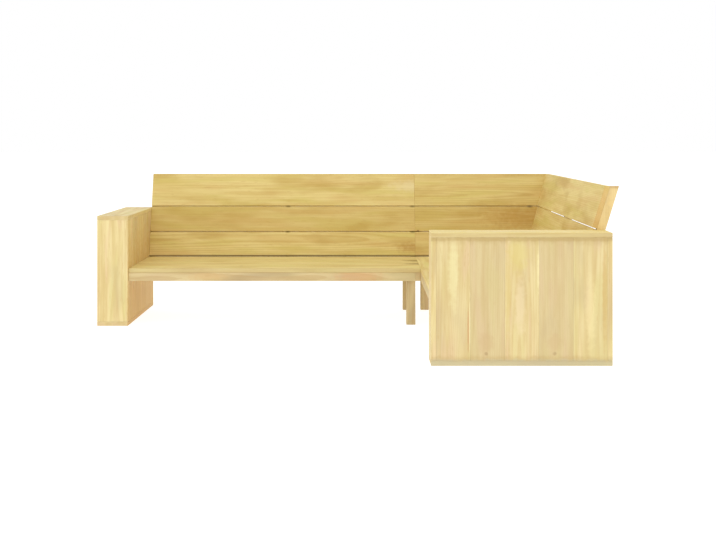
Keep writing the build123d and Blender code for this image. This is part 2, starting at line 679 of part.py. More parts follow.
with BuildPart() as arm_screws:
    screws(arm_drives, ARM_SCREW)
save(arm_screws, "arm_screws")

frame_drives = left_leg_drives + corner_leg_drives
frame_drives += arm_rail_drives(LEFT) + arm_rail_drives(RIGHT)
for foot_group in (left_foot_drives, corner_foot_drives, right_foot_drives):
    frame_drives += sum(foot_group.values(), [])
with BuildPart() as frame_screws:
    screws(frame_drives, FRAME_SCREW)
save(frame_screws, "frame_screws")

# Bolts, washers and nuts at the seam
bolt_places = rail_bolts + support_bolts
hex_radius = HEX_ACROSS_FLATS / math.sqrt(3)
head_run = -RAIL_T - WASHER_T
nut_run = RAIL_T + WASHER_T

with BuildPart() as section_bolts:
    for plane in bolt_planes(bolt_places, head_run):
        with BuildSketch(plane):
            RegularPolygon(hex_radius, 6)
        extrude(amount=-BOLT_HEAD_H)
        with BuildSketch(plane):
            Circle(BOLT_DIAMETER / 2)
        extrude(amount=BOLT_LENGTH)
save(section_bolts, "section_bolts")

with BuildPart() as section_washers:
    for plane in bolt_planes(bolt_places, head_run) + bolt_planes(bolt_places, RAIL_T):
        with BuildSketch(plane):
            Circle(WASHER_DIAMETER / 2)
            Circle((BOLT_DIAMETER + BORE_CLEARANCE) / 2, mode=Mode.SUBTRACT)
        extrude(amount=WASHER_T)
save(section_washers, "section_washers")

with BuildPart() as section_nuts:
    for plane in bolt_planes(bolt_places, nut_run):
        with BuildSketch(plane):
            RegularPolygon(hex_radius, 6)
            Circle((BOLT_DIAMETER + BORE_CLEARANCE) / 2, mode=Mode.SUBTRACT)
        extrude(amount=NUT_H)
save(section_nuts, "section_nuts")
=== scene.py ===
"""Low corner bench of pale planed pine: two box arms, boarded seats and leaning plank backs.

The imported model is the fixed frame. Every board that shows is milled again with eased edges and a
grain of its own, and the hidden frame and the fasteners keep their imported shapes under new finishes.
All lengths are metres.
"""

import logging
import math
from dataclasses import astuple, dataclass, fields, replace
from enum import Enum
from functools import lru_cache
from typing import List, Mapping, Optional, Tuple, Union

import bpy
from mathutils import Matrix, Vector


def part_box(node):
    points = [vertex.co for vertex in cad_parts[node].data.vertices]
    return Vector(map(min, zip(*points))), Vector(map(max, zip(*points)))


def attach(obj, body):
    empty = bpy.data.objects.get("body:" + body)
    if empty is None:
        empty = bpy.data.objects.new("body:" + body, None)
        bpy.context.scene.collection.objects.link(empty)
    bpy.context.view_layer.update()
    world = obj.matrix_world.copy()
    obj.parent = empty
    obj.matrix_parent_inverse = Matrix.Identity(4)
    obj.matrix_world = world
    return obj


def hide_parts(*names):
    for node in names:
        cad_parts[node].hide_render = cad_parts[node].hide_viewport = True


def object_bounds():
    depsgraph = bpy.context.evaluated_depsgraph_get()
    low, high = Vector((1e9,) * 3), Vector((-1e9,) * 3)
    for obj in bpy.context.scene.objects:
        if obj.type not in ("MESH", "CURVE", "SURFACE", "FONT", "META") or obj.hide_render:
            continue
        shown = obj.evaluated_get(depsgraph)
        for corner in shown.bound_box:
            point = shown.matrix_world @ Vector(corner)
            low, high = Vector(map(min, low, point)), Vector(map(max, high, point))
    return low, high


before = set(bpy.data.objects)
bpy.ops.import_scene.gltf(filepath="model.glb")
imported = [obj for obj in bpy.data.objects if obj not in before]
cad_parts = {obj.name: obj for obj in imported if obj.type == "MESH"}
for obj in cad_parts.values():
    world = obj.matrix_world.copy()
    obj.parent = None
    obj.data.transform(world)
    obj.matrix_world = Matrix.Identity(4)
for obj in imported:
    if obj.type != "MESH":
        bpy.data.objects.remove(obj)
CAD_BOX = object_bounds()

LOG = logging.getLogger("corner_bench")

BODY = "root"

EDGE_EASE = 0.002
JOINT_EASE = 0.0008
RAIL_EASE = 0.0015
PLANK_EASE = 0.0015
MIDDLE_SUPPORT_SHARE = 0.519
SUPPORT_HALF = 0.013
ARM_BOARD_COUNT = 5
ARM_JOINT_GAP = 0.0002
ARM_SPREAD = 0.1
BOARD_THICKNESS = 0.021
BACK_LEAN = math.radians(17.2)
BACK_SET = 0.001
BACK_RISE = 0.003
PLANK_WIDTHS = (0.1355, 0.141, 0.1835)
PLANK_GAP = 0.004
RAIL_TONE = 0.15
CLIP_END = 200.0
SEED_STEP = 20
WHITE = (1.0, 1.0, 1.0, 1.0)

# Share of each layer in the timber's colour
CLOUD_SHARE = 0.5
FIBRE_SHARE = 0.5
FLECK_SHARE = 0.28
HALO_SHARE = 0.22
KNOT_DEPTH = 0.8
END_SHARE = 0.35
EDGE_SHARE = 0.4

# Knots: cells to a metre along and across, stretch along the grain, least radius and its spread
KNOT_CELLS = (2.6, 8.5)
KNOT_STRETCH = 0.72
KNOT_RADIUS = (0.0035, 0.0075)
KNOT_WOBBLE = 0.005
KNOT_WOBBLE_SCALE = 60.0
KNOT_LIFT = 1.4

# Growth rings: how far the pith wanders sideways and in depth, and the tilt of the trunk
RING_SWAY = 0.03
RING_DRIFT = 0.045
RING_TILT = 0.006
RING_JITTER = 1.5

# Random cut of each board out of the trunk: lowest and highest place along, across and through it
CUT_LOW = (-20.0, -0.035, 0.03)
CUT_HIGH = (20.0, 0.035, 0.09)

STAIN_AND_PAINTED_LIGHT_SCALE = (45.0, 45.0, 45.0)
STAIN_AND_PAINTED_LIGHT_DEPTH = 0.02
ZINC_SCALE = (140.0, 140.0, 140.0)

Colour = Tuple[float, float, float, float]
Triple = Tuple[float, float, float]
Term = Union["Signal", bpy.types.NodeSocket, float]
Settings = Optional[Mapping[str, object]]
Sockets = Optional[Mapping[Union[str, int], object]]


def tint(red: int, green: int, blue: int) -> Colour:
    """Turn a display colour into the scene's linear one.

    Args:
        red: display red, 0 to 255.
        green: display green, 0 to 255.
        blue: display blue, 0 to 255.

    Returns:
        The linear colour with full alpha.
    """
    linear = []
    for level in (red, green, blue):
        share = level / 255.0
        if share <= 0.04045:
            linear.append(share / 12.92)
        else:
            linear.append(((share + 0.055) / 1.055) ** 2.4)
    return (linear[0], linear[1], linear[2], 1.0)


class Signal:
    """A number in a node tree that takes Python arithmetic."""

    def __init__(self, graph: "Graph", socket: bpy.types.NodeSocket) -> None:
        """Keep the socket and the graph that it belongs to."""
        self.graph = graph
        self.socket = socket

    def __add__(self, other: Term) -> "Signal":
        """Sum."""
        return self.graph.math("ADD", self, other)

    __radd__ = __add__

    def __sub__(self, other: Term) -> "Signal":
        """Difference."""
        return self.graph.math("SUBTRACT", self, other)

    def __mul__(self, other: Term) -> "Signal":
        """Product."""
        return self.graph.math("MULTIPLY", self, other)

    def __truediv__(self, other: Term) -> "Signal":
        """Quotient."""
        return self.graph.math("DIVIDE", self, other)

    def __gt__(self, other: Term) -> "Signal":
        """One where this value is the larger, else zero."""
        return self.graph.math("GREATER_THAN", self, other)

    def __abs__(self) -> "Signal":
        """Size without sign."""
        return self.graph.math("ABSOLUTE", self)

    def sign(self) -> "Signal":
        """Minus one, zero or one."""
        return self.graph.math("SIGN", self)

    def root(self) -> "Signal":
        """Square root."""
        return self.graph.math("SQRT", self)

    def fraction(self) -> "Signal":
        """Part after the decimal point."""
        return self.graph.math("FRACT", self)

    def ramp(self, low: Term, high: Term, start: float = 0.0, end: float = 1.0) -> "Signal":
        """Ease this value from one range to another.

        Args:
            low: the value that gives start.
            high: the value that gives end.
            start: result at low.
            end: result at high.

        Returns:
            The eased and clamped value.
        """
        return self.graph.take(
            "ShaderNodeMapRange",
            {"interpolation_type": "SMOOTHSTEP"},
            {"Value": self, "From Min": low, "From Max": high, "To Min": start, "To Max": end},
        )


class Graph:
    """A node tree under construction."""

    def __init__(self, tree: bpy.types.NodeTree) -> None:
        """Start from an empty tree."""
        self.tree = tree
        self.tree.nodes.clear()

    def node(self, kind: str, settings: Settings = None, sockets: Sockets = None) -> bpy.types.Node:
        """Add one node.

        Args:
            kind: the node's type.
            settings: its properties, set before any socket.
            sockets: values or links for its inputs, by name or index.

        Returns:
            The node.
        """
        made = self.tree.nodes.new(kind)
        for name, value in (settings or {}).items():
            setattr(made, name, value)
        for key, value in (sockets or {}).items():
            source = value.socket if isinstance(value, Signal) else value
            if isinstance(source, bpy.types.NodeSocket):
                self.tree.links.new(source, made.inputs[key])
            else:
                made.inputs[key].default_value = source
        return made

    def take(
        self, kind: str, settings: Settings = None, sockets: Sockets = None, output: Union[str, int] = 0
    ) -> Signal:
        """Add one node and keep one of its outputs.

        Args:
            kind: the node's type.
            settings: its properties.
            sockets: values or links for its inputs.
            output: name or index of the output.

        Returns:
            That output.
        """
        return Signal(self, self.node(kind, settings, sockets).outputs[output])

    def math(self, operation: str, *terms: Term) -> Signal:
        """Add one Math node on the terms."""
        return self.take("ShaderNodeMath", {"operation": operation}, dict(enumerate(terms)))

    def vector(self, operation: str, *terms: object) -> Signal:
        """Add one Vector Math node on the terms."""
        return self.take("ShaderNodeVectorMath", {"operation": operation}, dict(enumerate(terms)))

    def split(self, vector: Term) -> Tuple[Signal, Signal, Signal]:
        """Give a vector's three numbers."""
        parts = self.node("ShaderNodeSeparateXYZ", None, {0: vector}).outputs
        return (Signal(self, parts[0]), Signal(self, parts[1]), Signal(self, parts[2]))

    def join(self, x: Term, y: Term, z: Term) -> Signal:
        """Make a vector of three numbers."""
        return self.take("ShaderNodeCombineXYZ", None, {0: x, 1: y, 2: z})

    def noise(self, vector: Term, detail: float = 2.0) -> Signal:
        """Soft noise from 0 to 1 over a scaled vector."""
        return self.take("ShaderNodeTexNoise", None, {"Vector": vector, "Scale": 1.0, "Detail": detail})

    def mix(self, factor: Term, first: object, second: object) -> Signal:
        """Mix two colours by a factor."""
        return self.take("ShaderNodeMix", {"data_type": "RGBA"}, {0: factor, 6: first, 7: second}, 2)

    def place(self) -> Signal:
        """Position in the bench's frame."""
        return self.take("ShaderNodeTexCoord", None, None, "Object")

    def attribute(self, name: str, output: str) -> Signal:
        """Read an attribute of the mesh, as a Fac or a Vector."""
        return self.take("ShaderNodeAttribute", {"attribute_name": name}, None, output)

    def surface(self, sockets: Sockets) -> None:
        """End a material in one Principled shader with these inputs."""
        shader = self.take("ShaderNodeBsdfPrincipled", None, sockets)
        self.node("ShaderNodeOutputMaterial", None, {"Surface": shader})


def new_material(name: str) -> Tuple[bpy.types.Material, Graph]:
    """Start a material, with the graph of its nodes."""
    made = bpy.data.materials.new(name)
    made.use_nodes = True
    return made, Graph(made.node_tree)


Grain = Tuple[Signal, Signal, Signal]


@dataclass(frozen=True)
class Figure:
    """Noise stretched along the grain.

    Attributes:
        along: scale along the grain.
        across: scale across and through the board.
        detail: depth of the finer noise.
        offset: shift through the board, which tells like figures apart.
    """

    along: float
    across: float
    detail: float
    offset: float = 0.0

    def over(self, graph: Graph, grain: Grain) -> Signal:
        """Lay the noise over a piece.

        Args:
            graph: the material's graph.
            grain: positions along, across and through the board.

        Returns:
            The noise, from 0 to 1.
        """
        along, across, through = grain
        depth = through * self.across + self.offset
        return graph.noise(graph.join(along * self.along, across * self.across, depth), self.detail)


STREAK = Figure(3.0, 34.0, 3.0)
FIBRE = Figure(14.0, 820.0, 2.0)
CLOUD = Figure(3.4, 11.0, 2.5)
TINGE = Figure(2.3, 17.0, 2.0, 9.0)
FLECK = Figure(22.0, 170.0, 1.0)
SWAY = Figure(1.3, 5.0, 2.0)


class GrainRun(Enum):
    """Where the grain of a piece is read from."""

    BOARD = "board"
    ALONG_X = "along_x"
    ALONG_Y = "along_y"
    UPRIGHT = "upright"


# Axes along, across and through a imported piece, and how far its pith lies off the last two
GRAIN_AXES = {GrainRun.ALONG_X: (0, 1, 2), GrainRun.ALONG_Y: (1, 0, 2), GrainRun.UPRIGHT: (2, 0, 1)}
PITH_OFFSET = (0.06, 0.04)


@dataclass(frozen=True)
class Mark:
    """A soft mark on the timber: a stain, a patch of painted shade or a painted highlight.

    Attributes:
        centre: middle of the mark in the bench's frame.
        reach: half sizes of the mark.
        colour: the mark's colour.
        strength: greatest share of that colour.
        ragged: how far the mark's rim wanders.
    """

    centre: Triple
    reach: Triple
    colour: Colour
    strength: float
    ragged: float = 0.8


@dataclass(frozen=True)
class Pine:
    """Pale treated pine with growth rings, streaks, knots and end grain.

    Attributes:
        slot: material slot in the record, which starts the finish's name.
        pale: early wood.
        deep: darker streaks.
        late: late wood in the rings.
        warm: colour that a board's tone leads to.
        green: tinge that the treatment leaves in places.
        pink: tinge of the heartwood in places.
        knot: heart of a knot.
        end: open end grain.
        edge: colour of the eased edges; on the arms it is a painted highlight.
        streak_share: how far the streaks reach the deep colour.
        tinge_share: strength of the green and pink tinges.
        ring_share: how far the growth rings reach the late colour.
        knot_share: share of cells that hold a knot.
        ring: mean width of a growth ring.
        marks: stains, painted shade and painted highlights on this finish.
        section: ending of the name, where sections of the bench differ.
    """

    slot: str
    pale: Colour
    deep: Colour
    late: Colour
    warm: Colour
    green: Colour
    pink: Colour
    knot: Colour
    end: Colour
    edge: Colour
    streak_share: float = 0.6
    tinge_share: float = 0.5
    ring_share: float = 0.34
    knot_share: float = 0.05
    ring: float = 0.0062
    marks: Tuple[Mark, ...] = ()
    section: str = ""

    @lru_cache(maxsize=None)
    def material(self, run: GrainRun) -> bpy.types.Material:
        """Make the finish, once, for pieces whose grain runs one way.

        Args:
            run: where the grain is read from.

        Returns:
            The material.
        """
        made, graph = new_material(f"{self.slot}{self.section}_{run.value}")
        grain = graph.split(self._grain(graph, run))
        knot, halo, knot_lift = self._knots(graph, grain)
        late = self._rings(graph, grain, knot_lift)
        streak = STREAK.over(graph, grain).ramp(0.36, 0.68)
        fibre = FIBRE.over(graph, grain)
        cloud = CLOUD.over(graph, grain).ramp(0.46, 0.74)
        tinge = TINGE.over(graph, grain)
        fleck = FLECK.over(graph, grain).ramp(0.62, 0.76)
        colour = graph.mix(streak * self.streak_share, self.pale, self.deep)
        colour = graph.mix(tinge.ramp(0.51, 0.66) * self.tinge_share, colour, self.green)
        colour = graph.mix(tinge.ramp(0.47, 0.33) * self.tinge_share, colour, self.pink)
        colour = graph.mix(cloud * CLOUD_SHARE, colour, self.warm)
        colour = graph.mix(late * self.ring_share, colour, self.late)
        colour = graph.mix((fibre - 0.5) * FIBRE_SHARE, colour, self.deep)
        colour = graph.mix(fleck * FLECK_SHARE, colour, self.late)
        if run is GrainRun.BOARD:
            colour = self._board_tones(graph, colour)
        colour = graph.mix(halo * HALO_SHARE, colour, self.late)
        colour = graph.mix(knot * KNOT_DEPTH, colour, self.knot)
        for mark in self.marks:
            colour = self._stain_and_painted_light(graph, colour, mark)
        rough = 0.56 + late * 0.1 + (fibre - 0.5) * 0.16 - knot * 0.12
        height = late * 0.35 + fibre * 0.5 + knot * 0.25
        relief = {"Strength": 0.28, "Distance": 0.0007, "Height": height}
        bump = graph.take("ShaderNodeBump", None, relief)
        timber = {"Base Color": colour, "Roughness": rough, "Specular IOR Level": 0.32, "Normal": bump}
        graph.surface(timber)
        return made

    def _grain(self, graph: Graph, run: GrainRun) -> Signal:
        """Give the vector whose first number runs along the grain.

        Args:
            graph: the material's graph.
            run: where the grain is read from.

        Returns:
            The grain vector.
        """
        if run is GrainRun.BOARD:
            return graph.attribute("grain", "Vector")
        place = graph.split(graph.place())
        along, across, through = [place[axis] for axis in GRAIN_AXES[run]]
        return graph.join(along, across + PITH_OFFSET[0], through + PITH_OFFSET[1])

    def _knots(self, graph: Graph, grain: Grain) -> Tuple[Signal, Signal, Signal]:
        """Scatter knots, one cell of the board at a time.

        Args:
            graph: the material's graph.
            grain: positions along, across and through the board.

        Returns:
            The knot itself, the warm ring round it and how far it lifts the growth rings.
        """
        along, across, _ = grain
        cell_along, cell_across = KNOT_CELLS
        least, spread = KNOT_RADIUS
        cells = graph.node(
            "ShaderNodeTexVoronoi",
            {"voronoi_dimensions": "2D"},
            {"Vector": graph.join(along * cell_along, across * cell_across, 0.0), "Scale": 1.0},
        )
        middle_along, middle_across, _ = graph.split(cells.outputs["Position"])
        chance, size, _ = graph.split(cells.outputs["Color"])
        off_along = (along - middle_along / cell_along) * KNOT_STRETCH
        off_across = across - middle_across / cell_across
        rim = graph.join(along * KNOT_WOBBLE_SCALE, across * KNOT_WOBBLE_SCALE, 0.0)
        wobble = (graph.noise(rim, 1.0) - 0.5) * KNOT_WOBBLE
        distance = (off_along * off_along + off_across * off_across).root() + wobble
        radius = size * spread + least
        present = chance > 1.0 - self.knot_share
        knot = distance.ramp(radius * 1.15, radius * 0.7) * present
        halo = distance.ramp(radius * 3.2, radius * 0.9) * present
        return knot, halo, halo * radius * KNOT_LIFT

    def _rings(self, graph: Graph, grain: Grain, lift: Signal) -> Signal:
        """Lay growth rings about a pith that wanders below the board.

        Args:
            graph: the material's graph.
            grain: positions along, across and through the board, the last from the pith.
            lift: how far a knot pushes the rings.

        Returns:
            The share of late wood.
        """
        along, across, through = grain
        sway = SWAY.over(graph, grain) - 0.5
        drift = graph.noise(graph.join(along * 0.8, across * 3.0, 4.0), 1.0) - 0.5
        side = across + sway * RING_SWAY
        depth = through + drift * RING_DRIFT + along * RING_TILT
        reach = (side * side + depth * depth).root() + lift
        phase = (reach / self.ring + sway * RING_JITTER).fraction()
        return phase.ramp(0.35, 0.9) * phase.ramp(1.0, 0.93)

    def _board_tones(self, graph: Graph, colour: Signal) -> Signal:
        """Shift a milled board by its own tone, its end grain and the colour of its eased edges, a
        painted highlight on the arms.

        Args:
            graph: the material's graph.
            colour: the colour so far.

        Returns:
            The shifted colour.
        """
        toned = graph.mix(graph.attribute("tone", "Fac"), colour, self.warm)
        ended = graph.mix(graph.attribute("end_grain", "Fac") * END_SHARE, toned, self.end)
        return graph.mix(graph.attribute("eased", "Fac") * EDGE_SHARE, ended, self.edge)

    def _stain_and_painted_light(self, graph: Graph, colour: Signal, mark: Mark) -> Signal:
        """Lay one soft mark, a stain or painted light, over the colour.

        Args:
            graph: the material's graph.
            colour: the colour so far.
            mark: the stain or painted light.

        Returns:
            The marked colour.
        """
        place = graph.place()
        offset = graph.vector("DIVIDE", graph.vector("SUBTRACT", place, mark.centre), mark.reach)
        distance = graph.take("ShaderNodeVectorMath", {"operation": "LENGTH"}, {0: offset}, "Value")
        ragged = graph.noise(graph.vector("MULTIPLY", place, STAIN_AND_PAINTED_LIGHT_SCALE), 2.0) - 0.5
        cover = (distance + ragged * mark.ragged).ramp(1.0, 0.25)
        return graph.mix(cover * mark.strength, colour, mark.colour)


def zinc_steel() -> bpy.types.Material:
    """Make the zinc plating of the screws and bolts."""
    made, graph = new_material("zinc_steel")
    patch = graph.noise(graph.vector("MULTIPLY", graph.place(), ZINC_SCALE), 3.0)
    colour = graph.mix(patch.ramp(0.35, 0.7), tint(206, 204, 196), tint(158, 154, 138))
    graph.surface({"Base Color": colour, "Metallic": 1.0, "Roughness": 0.26 + patch * 0.22})
    return made


@dataclass(frozen=True)
class Stock:
    """One board, or a row of like boards side by side.

    Attributes:
        length: size along the grain.
        width: size across the face.
        thickness: size through the board.
        count: boards in the row.
        pitch: distance from board to board.
        ease: radius of the eased edges.
        tone: share of the warm colour.
        spread: greatest random share on top of it.
        alternate: extra share on every second board.
        skew: how far the far end runs on for each metre of width and of thickness.
        bevel: slope of the upper long edge across the thickness.
        seed: random seed.
    """

    length: float
    width: float
    thickness: float
    count: int = 1
    pitch: float = 0.0
    ease: float = EDGE_EASE
    tone: float = 0.0
    spread: float = 0.0
    alternate: float = 0.0
    skew: Triple = (0.0, 0.0, 0.0)
    bevel: float = 0.0
    seed: int = 0


class BoardMill:
    """Geometry Nodes that plane boards with eased edges and give each its own grain."""

    KINDS = {"count": "NodeSocketInt", "skew": "NodeSocketVector", "seed": "NodeSocketInt"}

    def __init__(self) -> None:
        """Build the tree once."""
        self.tree = bpy.data.node_groups.new("milled_boards", "GeometryNodeTree")
        self.graph = Graph(self.tree)
        self.identifiers: List[str] = []
        kinds = {size.name: self.KINDS.get(size.name, "NodeSocketFloat") for size in fields(Stock)}
        kinds["material"] = "NodeSocketMaterial"
        interface = self.tree.interface
        for name, kind in kinds.items():
            socket = interface.new_socket(name.title(), in_out="INPUT", socket_type=kind)
            self.identifiers.append(socket.identifier)
        interface.new_socket("Geometry", in_out="OUTPUT", socket_type="NodeSocketGeometry")
        self.inputs = self.graph.node("NodeGroupInput")
        row = self._row(self._board())
        realized = self.graph.take("GeometryNodeRealizeInstances", None, {"Geometry": row})
        grain = self.graph.vector("ADD", self._named("board"), self._named("shift"))
        grained = self._store(realized, "grain", "FLOAT_VECTOR", "POINT", grain)
        smooth = self.graph.take("GeometryNodeSetShadeSmooth", None, {"Geometry": grained})
        finish = {"Geometry": smooth, "Material": self._given("Material")}
        dressed = self.graph.take("GeometryNodeSetMaterial", None, finish)
        self.graph.node("NodeGroupOutput", None, {0: dressed})

    def _given(self, name: str) -> Signal:
        """Read one of the tree's inputs."""
        return Signal(self.graph, self.inputs.outputs[name])

    def _named(self, name: str) -> Signal:
        """Read a vector attribute."""
        kind = {"data_type": "FLOAT_VECTOR"}
        return self.graph.take("GeometryNodeInputNamedAttribute", kind, {"Name": name})

    def _store(self, geometry: Signal, name: str, kind: str, domain: str, value: object) -> Signal:
        """Keep a value on the geometry.

        Args:
            geometry: what carries it.
            name: the attribute's name.
            kind: its data type.
            domain: points or faces.
            value: the value.

        Returns:
            The geometry with the attribute.
        """
        return self.graph.take(
            "GeometryNodeStoreNamedAttribute",
            {"data_type": kind, "domain": domain},
            {"Geometry": geometry, "Name": name, "Value": value},
        )

    def _board(self) -> Signal:
        """Shape one board about its middle.

        Returns:
            The board, with its own coordinates, end faces and eased edges as attributes.
        """
        graph = self.graph
        ease = self._given("Ease")
        halves = [self._given(name) * 0.5 for name in ("Length", "Width", "Thickness")]
        cube = graph.take(
            "GeometryNodeMeshCube",
            None,
            {"Size": (3.0, 3.0, 3.0), "Vertices X": 4, "Vertices Y": 4, "Vertices Z": 4},
        )
        corner = graph.split(graph.take("GeometryNodeInputPosition"))
        signs = [number.sign() for number in corner]
        outer = [abs(number) > 1.0 for number in corner]
        core = graph.join(*[sign * (half - ease) for sign, half in zip(signs, halves)])
        lead = graph.vector("NORMALIZE", graph.join(*[sign * far for sign, far in zip(signs, outer)]))
        swell = graph.take("ShaderNodeVectorMath", {"operation": "SCALE"}, {0: lead, "Scale": ease})
        x, y, z = graph.split(graph.vector("ADD", core, swell))
        _, skew_width, skew_thickness = graph.split(self._given("Skew"))
        run_on = (x > 0.0) * (y * skew_width + z * skew_thickness)
        bevel = self._given("Bevel")
        rise = (y > 0.0) * (z * bevel + abs(bevel) * halves[2])
        edges = outer[0] + outer[1] + outer[2] - 1.0
        eased = self._store(cube, "eased", "FLOAT", "POINT", edges)
        place = graph.join(x + run_on, y + rise, z)
        shaped = graph.take("GeometryNodeSetPosition", None, {"Geometry": eased, "Position": place})
        position = graph.take("GeometryNodeInputPosition")
        placed = self._store(shaped, "board", "FLOAT_VECTOR", "POINT", position)
        facing, _, _ = graph.split(graph.take("GeometryNodeInputNormal"))
        return self._store(placed, "end_grain", "FLOAT", "FACE", abs(facing) > 0.75)

    def _row(self, board: Signal) -> Signal:
        """Set boards side by side, each with a random cut of the tree and a tone.

        Args:
            board: the board to repeat.

        Returns:
            The row of instances.
        """
        graph = self.graph
        count = self._given("Count")
        pitch = self._given("Pitch")
        seed = self._given("Seed")
        start = graph.join(0.0, (count - 1.0) * pitch * -0.5, 0.0)
        line = graph.take(
            "GeometryNodeMeshLine",
            {"mode": "OFFSET"},
            {"Count": count, "Start Location": start, "Offset": graph.join(0.0, pitch, 0.0)},
        )
        limits = {0: CUT_LOW, 1: CUT_HIGH, "Seed": seed}
        cut = graph.take("FunctionNodeRandomValue", {"data_type": "FLOAT_VECTOR"}, limits)
        limits = {2: 0.0, 3: 1.0, "Seed": seed + 7.0}
        chance = graph.take("FunctionNodeRandomValue", {"data_type": "FLOAT"}, limits, 1)
        second = graph.math("MODULO", graph.take("GeometryNodeInputIndex"), 2.0)
        tone = self._given("Tone") + chance * self._given("Spread") + second * self._given("Alternate")
        shifted = self._store(line, "shift", "FLOAT_VECTOR", "POINT", cut)
        toned = self._store(shifted, "tone", "FLOAT", "POINT", tone)
        return graph.take("GeometryNodeInstanceOnPoints", None, {"Points": toned, "Instance": board})

    def cut(self, node: str, stock: Stock, place: Matrix, pine: Pine) -> None:
        """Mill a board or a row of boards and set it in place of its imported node.

        The finished piece is a plain mesh at the origin.

        Args:
            node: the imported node.
            stock: the sizes to mill.
            place: from board axes to the bench's frame.
            pine: its finish.
        """
        name = f"{node}_milled"
        piece = bpy.data.objects.new(name, bpy.data.meshes.new(name))
        bpy.context.collection.objects.link(piece)
        nodes = piece.modifiers.new("milled", "NODES")
        nodes.node_group = self.tree
        timber = pine.material(GrainRun.BOARD)
        for identifier, value in zip(self.identifiers, (*astuple(stock), timber)):
            nodes[identifier] = value
        piece.modifiers.new("weighted", "WEIGHTED_NORMAL")
        depsgraph = bpy.context.evaluated_depsgraph_get()
        mesh = bpy.data.meshes.new_from_object(
            piece.evaluated_get(depsgraph), preserve_all_data_layers=True, depsgraph=depsgraph
        )
        piece.modifiers.clear()
        mesh.transform(place)
        piece.data = mesh
        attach(piece, BODY)
        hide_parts(node)
        LOG.info("%s stands for %s", name, node)


class Axis(Enum):
    """A direction of the bench's frame."""

    X = 0
    Y = 1
    Z = 2

    def unit(self) -> Vector:
        """Unit vector of the axis."""
        return Vector([1.0 if step == self.value else 0.0 for step in range(3)])


@dataclass(frozen=True)
class Lay:
    """How a board lies: its grain along one axis and its width along another.

    Attributes:
        grain: axis of the board's length.
        width: axis of the board's width.
    """

    grain: Axis
    width: Axis

    def cut(
        self, mill: BoardMill, node: str, pine: Pine, count: int = 1, gap: float = 0.0, **looks: object
    ) -> None:
        """Mill a node's boards to the size and place of its box.

        Args:
            mill: the board mill.
            node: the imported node.
            pine: its finish.
            count: boards side by side in it.
            gap: space between them.
            looks: other fields of the stock.
        """
        low, high = [Vector(corner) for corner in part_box(node)]
        size = high - low
        width = (size[self.width.value] - gap * (count - 1)) / count
        stock = Stock(
            length=size[self.grain.value],
            width=width,
            thickness=size[3 - self.grain.value - self.width.value],
            count=count,
            pitch=width + gap,
            **looks,
        )
        place = seat_axes(self.grain.unit(), self.width.unit(), (low + high) * 0.5)
        mill.cut(node, stock, place, pine)


def seat_axes(grain: Vector, width: Vector, middle: Vector) -> Matrix:
    """Make the move from board axes to the bench's frame.

    Args:
        grain: direction of the board's length.
        width: direction of its width.
        middle: where its middle goes.

    Returns:
        The move.
    """
    turn = Matrix((grain, width, grain.cross(width))).transposed()
    return Matrix.Translation(middle) @ turn.to_4x4()


def coat(node: str, finish: bpy.types.Material) -> None:
    """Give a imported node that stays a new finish.

    Args:
        node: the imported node.
        finish: its material.
    """
    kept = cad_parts[node]
    if not kept.material_slots:
        kept.data.materials.append(finish)
    for place in kept.material_slots:
        place.material = finish
    LOG.info("%s keeps its packed shape", node)


@dataclass
class BoxArm:
    """A box arm of a top, a bottom, two end boards and five upright boards on each side.

    Attributes:
        side: left or right.
        run: axis along the arm.
        over: axis across the arm.
        seed: random seed of its boards.
        tones: tone of the outer and of the inner boards.
        alternate: extra tone on every second upright board.
    """

    side: str
    run: Axis
    over: Axis
    seed: int
    tones: Tuple[float, float]
    alternate: float

    def build(self, mill: BoardMill, pine: Pine) -> None:
        """Mill the boards that show."""
        flat = Lay(self.run, self.over)
        upright = Lay(Axis.Z, self.run)
        end = Lay(Axis.Z, self.over)
        single = (
            ("top", flat, 0.04),
            ("bottom", flat, 0.12),
            ("front_board", end, 0.03),
            ("rear_board", end, 0.1),
        )
        for step, (part, lay, tone) in enumerate(single):
            lay.cut(mill, f"{self.side}_arm_{part}", pine, tone=tone, seed=self.seed + step)
        for step, (part, tone) in enumerate(zip(("outer", "inner"), self.tones)):
            upright.cut(
                mill,
                f"{self.side}_arm_{part}_boards",
                pine,
                ARM_BOARD_COUNT,
                ARM_JOINT_GAP,
                ease=JOINT_EASE,
                tone=tone,
                spread=ARM_SPREAD,
                alternate=self.alternate,
                seed=self.seed + SEED_STEP + step,
            )

    def dress(self, pine: Pine, rail_pine: Pine) -> None:
        """Coat the posts and battens inside the arm, and the rail beside it."""
        long_run = GrainRun.ALONG_X if self.run is Axis.X else GrainRun.ALONG_Y
        coat(f"{self.side}_arm_posts", pine.material(GrainRun.UPRIGHT))
        coat(f"{self.side}_arm_battens", pine.material(long_run))
        coat(f"{self.side}_arm_rail", rail_pine.material(long_run))


@dataclass
class BoardedSeat:
    """Four seat boards side by side.

    Attributes:
        side: left or right.
        run: axis along the boards.
        over: axis across them.
        seed: random seed of the boards.
        tones: tone of each board.
    """

    side: str
    run: Axis
    over: Axis
    seed: int
    tones: Tuple[float, ...]

    def build(self, mill: BoardMill, pine: Pine) -> None:
        """Mill the boards."""
        lay = Lay(self.run, self.over)
        for step, tone in enumerate(self.tones):
            lay.cut(mill, f"{self.side}_seat_board_{step + 1}", pine, tone=tone, seed=self.seed + step)


